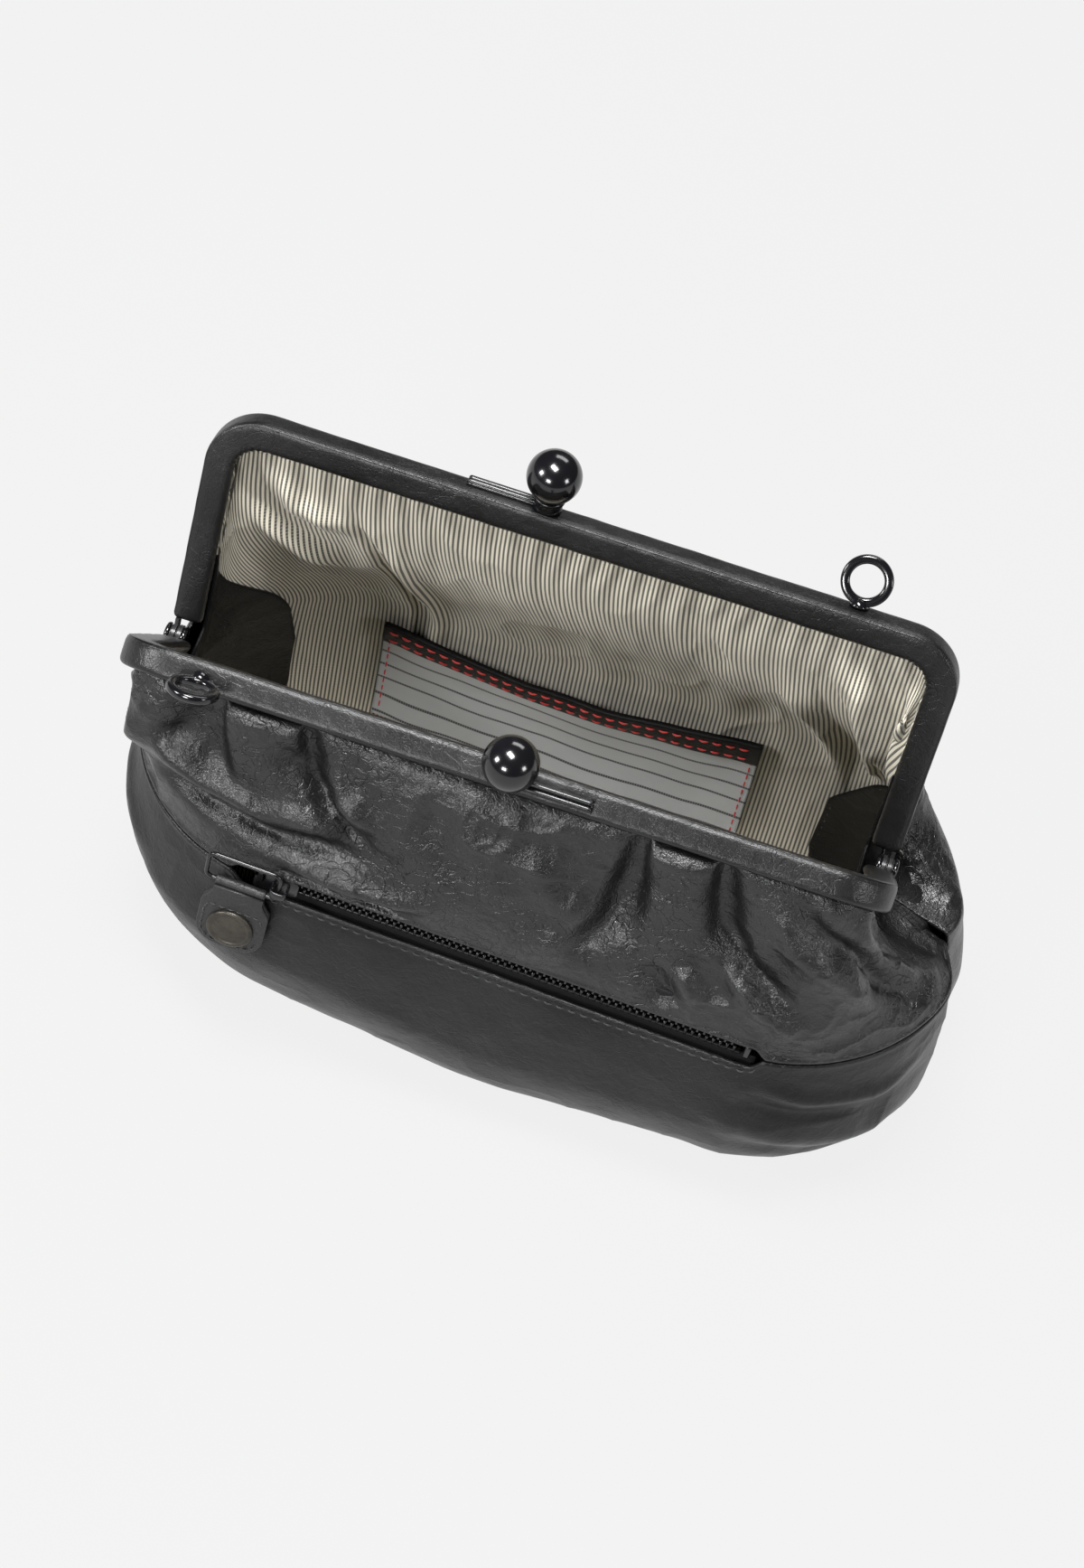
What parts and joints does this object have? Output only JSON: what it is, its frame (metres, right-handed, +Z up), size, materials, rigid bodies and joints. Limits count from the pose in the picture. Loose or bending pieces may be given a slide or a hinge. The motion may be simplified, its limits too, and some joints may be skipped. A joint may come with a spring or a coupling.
{
  "type": "kiss lock frame purse",
  "caption": "Wide open clutch purse with a leather covered hinged frame, ball clasp, zipped front pocket with a pull tab, lining with a slip pocket, and strap rings",
  "frame": {"origin": "On the ground plane under the middle of the hinge axis: x midway between the two hinges, y on the hinge axis, z = 0 at the flat underside of the bag.", "axes": "X runs along the hinge axis to the wearer's right, Y points to the rear of the bag, Z is up. The front with the zip faces -Y."},
  "size_m": [0.231, 0.1136, 0.1629],
  "materials": {
    "leather": "matte",
    "frame_leather": "satin",
    "black_metal": "gloss",
    "steel": "brushed",
    "paper_cord": "matte",
    "ticking": "matte",
    "satin": "satin",
    "tape": "matte",
    "zip_metal": "satin",
    "bronze": "satin"
  },
  "bodies": {
    "bag": {"left_hinge_rivet": "black_metal", "right_hinge_rivet": "black_metal", "left_hinge_washers": "steel", "right_hinge_washers": "steel", "upper_front_panel": "leather", "lower_front_panel": "leather", "rear_panel": "leather", "front_lining": "ticking", "rear_lining": "ticking", "slip_pocket": "satin", "slip_pocket_binding": "frame_leather", "left_hinge_patch": "frame_leather", "right_hinge_patch": "frame_leather", "zip_tape_upper": "tape", "zip_tape_lower": "tape", "zip_teeth_upper": "zip_metal", "zip_teeth_lower": "zip_metal", "zip_top_stop": "zip_metal", "zip_end_stop": "zip_metal", "zip_pocket_bag": "tape"},
    "front_frame": {"front_frame_channel": "steel", "front_frame_cover": "frame_leather", "front_frame_cord": "paper_cord", "front_clasp_plate": "black_metal", "front_clasp_ball": "black_metal", "front_strap_ring": "black_metal"},
    "rear_frame": {"rear_frame_channel": "steel", "rear_frame_cover": "frame_leather", "rear_frame_cord": "paper_cord", "rear_clasp_plate": "black_metal", "rear_clasp_ball": "black_metal", "rear_strap_ring": "black_metal"},
    "slider": {"zip_slider": "black_metal"},
    "pull_loop": {"zip_pull_loop": "black_metal"},
    "pull_tab": {"zip_pull_tab": "leather", "pull_stud": "bronze"}
  },
  "joints": [
    {"name": "front_frame_close", "type": "hinge", "parent": "bag", "child": "front_frame", "pos_m": [0, 0, 0.08], "axis": [-1, 0, 0], "range_deg": [0, 42]},
    {"name": "rear_frame_close", "type": "hinge", "parent": "bag", "child": "rear_frame", "pos_m": [0, 0, 0.08], "axis": [1, 0, 0], "range_deg": [0, 17]},
    {"name": "zip_travel", "type": "slide", "parent": "bag", "child": "slider", "axis": [0.9988, 0, -0.0489], "range_m": [0, 0.118]},
    {"name": "loop_swing", "type": "hinge", "parent": "slider", "child": "pull_loop", "pos_m": [-0.04667, -0.06145, 0.06806], "axis": [0.0489, 0, 0.9988], "range_deg": [0, 75]},
    {"name": "tab_lift", "type": "hinge", "parent": "pull_loop", "child": "pull_tab", "pos_m": [-0.05616, -0.06145, 0.06853], "axis": [-0.9988, 0, 0.0489], "range_deg": [0, 90]}
  ],
  "couplings": [
    {"joint": "rear_frame_close", "follows": "front_frame_close", "ratio": 0.40476}
  ]
}
